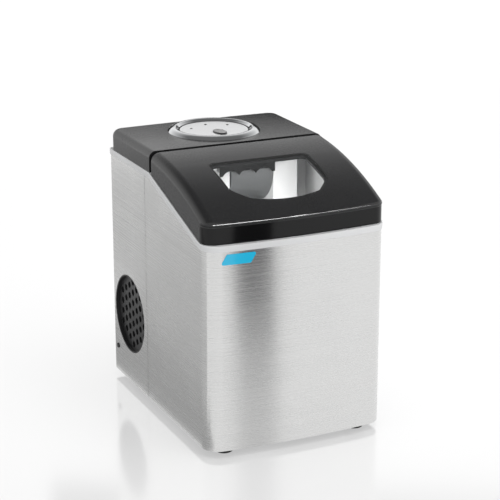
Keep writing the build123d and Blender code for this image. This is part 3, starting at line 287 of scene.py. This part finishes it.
cleaning = {"mergeDistance": 0.000002, "flatAngle": 0.3}  # metres, degrees


def cleanCopy(name, node, dissolve=False):
    # a CAD node's mesh as a piece of its own, with its loose triangles merged
    piece = bpy.data.objects.new(name, frame["nodes"][node].data.copy())
    bpy.context.scene.collection.objects.link(piece)
    activate(piece)
    bpy.ops.mesh.customdata_custom_splitnormals_clear()
    bpy.ops.object.mode_set(mode="EDIT")
    bpy.ops.mesh.select_all(action="SELECT")
    bpy.ops.mesh.remove_doubles(threshold=cleaning["mergeDistance"])
    if dissolve:
        bpy.ops.mesh.dissolve_limited(angle_limit=math.radians(cleaning["flatAngle"]))
    bpy.ops.object.mode_set(mode="OBJECT")
    return piece


def soften(piece, width, angle=34, segments=2):
    activate(piece)
    edge = piece.modifiers.new("edge", "BEVEL")
    edge.width = width
    edge.segments = segments
    edge.limit_method = "ANGLE"
    edge.angle_limit = math.radians(angle)
    edge.use_clamp_overlap = True
    bpy.ops.object.modifier_apply(modifier="edge")


def settle(piece, node, angle):
    # gives a piece its shading, plus the finish and body of the node it stands for, and hides that node
    activate(piece)
    bpy.ops.object.shade_smooth_by_angle(angle=math.radians(angle))
    even = piece.modifiers.new("even", "WEIGHTED_NORMAL")
    even.keep_sharp = True
    even.weight = 100
    bpy.ops.object.modifier_apply(modifier="even")
    slotName = nodeSlot[node]
    piece.data.materials.clear()
    piece.data.materials.append(finishes[slotName])
    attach(piece, nodeBody[node])
    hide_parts(node)


outerPieces = {  # name: (node, edge width, smoothing angle)
    "frontWrap": ("front_wrap", 0.0, 30),
    "rearWrap": ("rear_wrap", 0.0, 30),
    "topTrim": ("top_trim", 0.0008, 34),
    "rearCover": ("rear_cover", 0.0, 34),
    "lidFrontBand": ("lid_front_band", 0.0, 34),
    "lidWindow": ("lid_window", 0.0, 34),
    "windowGasket": ("window_gasket", 0.0, 34),
    "windowFrame": ("window_frame", 0.0, 34),
    "controlBezel": ("control_bezel", 0.0, 40),
    "dialGasket": ("dial_gasket", 0.0, 34),
    "controlFascia": ("control_fascia", 0.0003, 34),
    "powerButton": ("power_button", 0.0, 40),
    "basePan": ("base_pan", 0.0006, 34),
    "rubberFeet": ("rubber_feet", 0.0, 34),
    "leftGrille": ("side_grille_left", 0.0, 34),
    "rightGrille": ("side_grille_right", 0.0, 34),
    "waterTray": ("water_tray", 0.0, 34),
    "iceRake": ("ice_rake", 0.0003, 34),
    "frontBadge": ("front_badge", 0.0, 34),
}
for name, (node, width, angle) in outerPieces.items():
    piece = cleanCopy(name, node, dissolve=width > 0)
    if width:
        soften(piece, width)
    settle(piece, node, angle)
print("outer pieces copied:", len(outerPieces))

lidLook = {"noseWidth": 0.0022, "noseAngle": 40, "noseSegments": 4, "smoothing": 34}


def lidShell():
    piece = cleanCopy("lidShell", "lid_shell", dissolve=True)
    soften(piece, lidLook["noseWidth"], lidLook["noseAngle"], lidLook["noseSegments"])
    settle(piece, "lid_shell", lidLook["smoothing"])


beadLook = {
    "radius": 0.0022, "rings": 4, "smoothing": 40,
    "aboveBand": 0.0026, "sink": 0.0015,  # the lip's middle, over the band's top and in from its face
    "points": 90, "sweep": 74, "middleY": -0.100,  # rays fan out this many degrees to each side
    "rayStart": 0.4, "rayDrop": 0.004,
}


def noseBead(band):
    # rounded lip along the top edge of the gloss band, which carries the bright line
    look = beadLook
    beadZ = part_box("lid_front_band")[1][2] + look["aboveBand"]
    middle = Vector((0, look["middleY"], beadZ - look["rayDrop"]))
    points = []
    for step in range(look["points"]):
        turn = math.radians(look["sweep"] * (2 * step / (look["points"] - 1) - 1))
        outward = Vector((math.sin(turn), -math.cos(turn), 0))
        hit, place, normal, _ = band.ray_cast(middle + outward * look["rayStart"], -outward)
        if hit:
            points.append(Vector((place.x, place.y, beadZ)) - normal * look["sink"])
    bpy.ops.object.select_all(action="DESELECT")
    bpy.ops.curve.primitive_nurbs_path_add(location=(0, 0, 0))
    bead = bpy.context.object
    bead.name = "noseBead"
    bead.data.splines.clear()
    line = bead.data.splines.new("POLY")
    line.points.add(len(points) - 1)
    for spot, point in zip(line.points, points):
        spot.co = (*point, 1)
    bead.data.bevel_depth = look["radius"]
    bead.data.bevel_resolution = look["rings"]
    bead.data.use_fill_caps = True
    bpy.ops.object.convert(target="MESH")
    bpy.ops.object.shade_smooth_by_angle(angle=math.radians(look["smoothing"]))
    bead.data.materials.append(finishes["black_gloss"])
    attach(bead, "lid")
    print("bead points", len(points))


lidShell()
noseBead(bpy.data.objects["lidFrontBand"])
print("lid made")

for node, cadNode in frame["nodes"].items():  # the CAD nodes that stay as they are
    if not cadNode.hide_render:
        cadNode.data.materials.clear()
        cadNode.data.materials.append(finishes[nodeSlot[node]])

camera = {"azimuth": -24.85, "elevation": 17.52, "distance": 2.1967, "focal": 121.53,
          "aim": (0, -0.003, 0.160), "aside": 0.00763, "rise": 0.04586, "seesTo": 100}


def addCamera():
    turn = math.radians(camera["azimuth"])
    tilt = math.radians(camera["elevation"])
    back = Vector((math.sin(turn) * math.cos(tilt), -math.cos(turn) * math.cos(tilt), math.sin(tilt)))
    right = Vector((math.cos(turn), math.sin(turn), 0))
    up = back.cross(right)
    aim = Vector(camera["aim"]) + right * camera["aside"] + up * camera["rise"]
    bpy.ops.object.camera_add(location=aim + back * camera["distance"])
    eye = bpy.context.object
    eye.rotation_euler = back.to_track_quat("Z", "Y").to_euler()
    eye.data.lens = camera["focal"]
    eye.data.clip_end = camera["seesTo"]
    bpy.context.scene.camera = eye


floorLook = {
    "size": 30, "middle": (0, 4, 0), "color": (0.33, 0.33, 0.33, 1), "ior": 2.9, "glow": 0.47,
    "glossReach": (3.9, 4.6), "roughness": (0.10, 0.22),  # duller further from the floor's middle
}


def addFloor():
    look = floorLook
    bpy.ops.object.select_all(action="DESELECT")
    bpy.ops.mesh.primitive_plane_add(size=look["size"], location=look["middle"])
    floor = bpy.context.object
    floor.name = "studioFloor"
    material, tree, shader = newFinish("paleFloor", Base_Color=look["color"], IOR=look["ior"],
                                       Emission_Color=(1, 1, 1, 1), Emission_Strength=look["glow"])
    reach = makeNode(tree, "ShaderNodeVectorMath", {"operation": "LENGTH"}, {"Vector": objectPlace(tree)},
                     out="Value")
    plug(remap(reach, *look["glossReach"], *look["roughness"]), shader, "Roughness")
    floor.data.materials.append(material)


worldLook = {
    "heights": (0.32, 0.80), "light": (1.34, 0.24),  # brighter near the horizon than overhead
    "depths": (-0.4, 0.5), "depthLight": (1.0, 1.05), "seenByCamera": 1.0,
}


def lightWorld():
    look = worldLook
    world = bpy.data.worlds.new("studioWorld")
    bpy.context.scene.world = world
    world.use_nodes = True
    tree = world.node_tree
    tree.nodes.clear()
    way = makeNode(tree, "ShaderNodeTexCoord", out="Generated")
    height = makeNode(tree, "ShaderNodeSeparateXYZ", None, {"Vector": way}, out="Z")
    depth = makeNode(tree, "ShaderNodeSeparateXYZ", None, {"Vector": way}, out="Y")
    light = (remap(height, *look["heights"], *look["light"])
             * remap(depth, *look["depths"], *look["depthLight"]))
    seen = makeNode(tree, "ShaderNodeLightPath", out="Is Camera Ray")
    glow = makeNode(tree, "ShaderNodeMix", {"data_type": "FLOAT"},
                    {0: seen, 2: light, 3: look["seenByCamera"]})
    background = makeNode(tree, "ShaderNodeBackground", None, {"Strength": glow})
    plug(background, tree.nodes.new("ShaderNodeOutputWorld"), "Surface")


lamps = {  # "onto" names the only pieces that a lamp lights
    "topSoftbox": {"place": (0.1, -0.25, 1.3), "size": (0.7, 0.7), "watts": 9, "aim": (0, -0.1, 0.25)},
    "frontSoftbox": {"place": (0.8, -1.5, 1.3), "size": (1.2, 1.2), "watts": 11, "aim": (0, 0, 0.15)},
    "binSideLamp": {"place": (-0.03, -0.125, 0.24), "size": (0.06, 0.05), "watts": 0.26,
                    "aim": (0.095, -0.05, 0.27), "onto": ["inner_liner", "mechanism_frame"]},
    "binLamp": {"place": (0.0, -0.132, 0.262), "size": (0.17, 0.03), "watts": 0.026,
                "aim": (0.0, -0.02, 0.285),
                "onto": ["inner_liner", "mechanism_frame", "waterTray", "iceRake"]},
    "noseLamp": {"place": (0.30, -0.70, 1.90), "size": (1.6, 0.75), "watts": 520,
                 "aim": (0, -0.16, 0.29), "onto": ["noseBead"], "reflected": True},
}


def shineOnly(lamp, names):
    lit = bpy.data.collections.new(lamp.name + "Lit")
    for name in names:
        lit.objects.link(bpy.data.objects[name])
    lamp.light_linking.receiver_collection = lit


def addLamp(name, look):
    bpy.ops.object.light_add(type="AREA", location=look["place"])
    lamp = bpy.context.object
    lamp.name = name
    lamp.data.shape = "RECTANGLE"
    lamp.data.size, lamp.data.size_y = look["size"]
    lamp.data.energy = look["watts"]
    lamp.visible_glossy = look.get("reflected", False)
    lamp.visible_camera = False
    lamp.rotation_euler = (Vector(look["place"]) - Vector(look["aim"])).to_track_quat("Z", "Y").to_euler()
    if "onto" in look:
        shineOnly(lamp, look["onto"])


cards = {  # boards that are seen only in reflections
    "darkPost": {"place": (0.089, -0.618, 0.30), "size": (0.105, 0.60), "facing": (0.0, -0.168, 0.30),
                 "color": (0.05, 0.05, 0.055)},
    "sideFar": {"place": (-0.62, 0.62, 0.003), "size": (0.75, 1.5), "facing": (-0.62, 0.62, 1),
                "color": (0.54, 0.54, 0.54)},
    "sideNear": {"place": (-0.185, 0.12, 0.003), "size": (0.11, 0.6), "facing": (-0.185, 0.12, 1),
                 "color": (0.40, 0.40, 0.40)},
    "backBoard": {"place": (0.22, 0.34, 0.380), "size": (0.75, 0.09), "facing": (0.05, 0.05, 0.36),
                  "color": (0.03, 0.03, 0.03)},
}


def cardGlow(name, color):
    # shines on its face and is clear from behind
    material = bpy.data.materials.new(name)
    material.use_nodes = True
    tree = material.node_tree
    tree.nodes.clear()
    glow = makeNode(tree, "ShaderNodeEmission", None, {"Color": (*color, 1)})
    clear = makeNode(tree, "ShaderNodeBsdfTransparent")
    behind = makeNode(tree, "ShaderNodeNewGeometry", out="Backfacing")
    oneSided = makeNode(tree, "ShaderNodeMixShader", None, {0: behind, 1: glow, 2: clear})
    plug(oneSided, tree.nodes.new("ShaderNodeOutputMaterial"), "Surface")
    return material


def addCard(name, look):
    bpy.ops.object.select_all(action="DESELECT")
    bpy.ops.mesh.primitive_plane_add(size=1, location=look["place"])
    card = bpy.context.object
    card.name = name
    card.scale = (*look["size"], 1)
    card.rotation_euler = (Vector(look["facing"]) - Vector(look["place"])).to_track_quat("Z", "Y").to_euler()
    card.data.materials.append(cardGlow(name, look["color"]))
    card.visible_camera = False
    card.visible_diffuse = False
    card.visible_shadow = False


bpy.context.scene.view_settings.view_transform = "Standard"
addCamera()
addFloor()
lightWorld()
for name, look in lamps.items():
    addLamp(name, look)
for name, look in cards.items():
    addCard(name, look)
print("studio ready")
